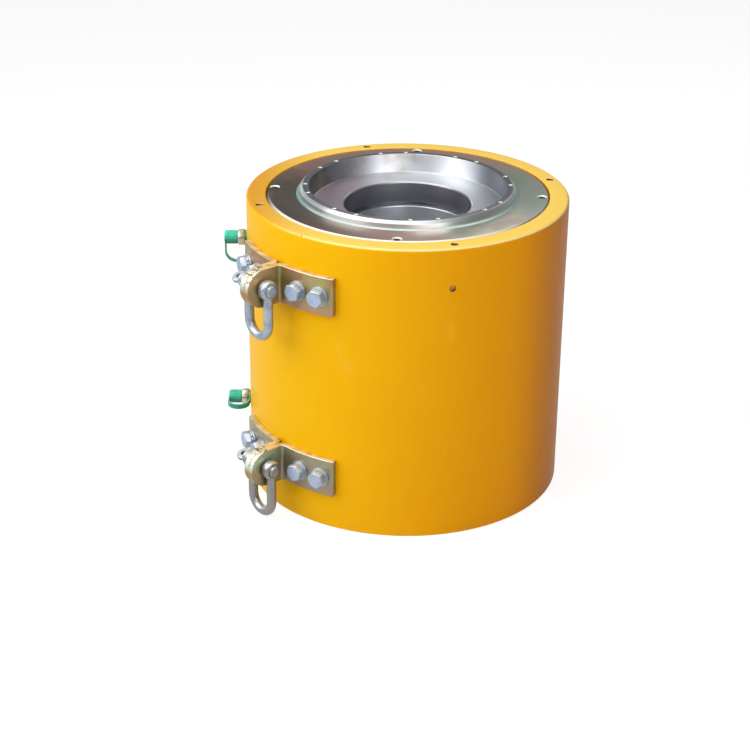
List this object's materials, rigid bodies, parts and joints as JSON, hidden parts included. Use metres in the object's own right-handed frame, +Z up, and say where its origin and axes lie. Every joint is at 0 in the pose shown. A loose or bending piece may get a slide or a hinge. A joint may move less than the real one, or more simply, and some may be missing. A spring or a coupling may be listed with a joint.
{
  "type": "hollow hydraulic tensioning jack",
  "caption": "Hollow-piston hydraulic jack for tensioning strands: yellow barrel, plated gland ring, recessed piston, bolted lifting brackets with shackles, capped oil ports.",
  "frame": {"origin": "centre of the strand bore in the plane of the base", "axes": "+Z up along the bore, in the direction of the piston's stroke; -Y towards the lifting brackets; +X to their right"},
  "size_m": [0.4999, 0.57, 0.482],
  "materials": {
    "yellow_paint": "gloss",
    "tube_steel": "turned",
    "zinc_plate": "yellow zinc, iridescent",
    "piston_steel": "turned",
    "black_steel": "blackened",
    "bracket_steel": "yellow zinc, iridescent",
    "bolt_steel": "zinc plated",
    "shackle_steel": "galvanised",
    "brass": "machined",
    "copper": "plain",
    "green_plastic": "moulded",
    "seal_plastic": "moulded",
    "guide_plastic": "machined",
    "black_rubber": "moulded"
  },
  "bodies": {
    "barrel": {"cylinder_barrel": "yellow_paint", "centre_tube": "tube_steel", "tube_seal_ring": "black_rubber", "gland_ring": "zinc_plate", "gland_seal_ring": "black_rubber", "rod_guide_ring": "guide_plastic", "rod_seal": "seal_plastic", "rod_wiper": "seal_plastic", "gland_lock_screw": "black_steel", "port_sealing_rings": "copper", "upper_bracket_right_plate": "bracket_steel", "upper_bracket_left_plate": "bracket_steel", "upper_bracket_bolts": "bolt_steel", "upper_bracket_spring_washers": "bolt_steel", "upper_bracket_flat_washers": "bolt_steel", "upper_oil_adaptor": "brass", "lower_bracket_right_plate": "bracket_steel", "lower_bracket_left_plate": "bracket_steel", "lower_bracket_bolts": "bolt_steel", "lower_bracket_spring_washers": "bolt_steel", "lower_bracket_flat_washers": "bolt_steel", "lower_oil_adaptor": "brass"},
    "piston": {"piston": "piston_steel", "piston_guide_rings": "guide_plastic", "piston_seal": "seal_plastic", "bore_seal": "seal_plastic", "bore_guide_ring": "guide_plastic"},
    "upper_shackle": {"upper_shackle_bow": "shackle_steel"},
    "upper_pin": {"upper_shackle_pin": "shackle_steel"},
    "upper_cap": {"upper_dust_cap": "green_plastic"},
    "lower_shackle": {"lower_shackle_bow": "shackle_steel"},
    "lower_pin": {"lower_shackle_pin": "shackle_steel"},
    "lower_cap": {"lower_dust_cap": "green_plastic"}
  },
  "joints": [
    {"name": "piston_stroke", "type": "slide", "parent": "barrel", "child": "piston", "axis": [0, 0, 1], "range_m": [0, 0.2]},
    {"name": "upper_shackle_swing", "type": "hinge", "parent": "barrel", "child": "upper_shackle", "pos_m": [0, -0.29, 0.387], "axis": [-1, 0, 0], "range_deg": [-20, 200]},
    {"name": "upper_pin_turn", "type": "hinge", "parent": "upper_shackle", "child": "upper_pin", "pos_m": [0, -0.29, 0.387], "axis": [1, 0, 0], "continuous": true},
    {"name": "upper_cap_swivel", "type": "hinge", "parent": "barrel", "child": "upper_cap", "pos_m": [-0.16728, -0.18579, 0.3914], "axis": [-0.6691, -0.7431, 0], "continuous": true},
    {"name": "lower_shackle_swing", "type": "hinge", "parent": "barrel", "child": "lower_shackle", "pos_m": [0, -0.29, 0.089], "axis": [-1, 0, 0], "range_deg": [-20, 200]},
    {"name": "lower_pin_turn", "type": "hinge", "parent": "lower_shackle", "child": "lower_pin", "pos_m": [0, -0.29, 0.089], "axis": [1, 0, 0], "continuous": true},
    {"name": "lower_cap_swivel", "type": "hinge", "parent": "barrel", "child": "lower_cap", "pos_m": [-0.16728, -0.18579, 0.114], "axis": [-0.6691, -0.7431, 0], "continuous": true}
  ]
}
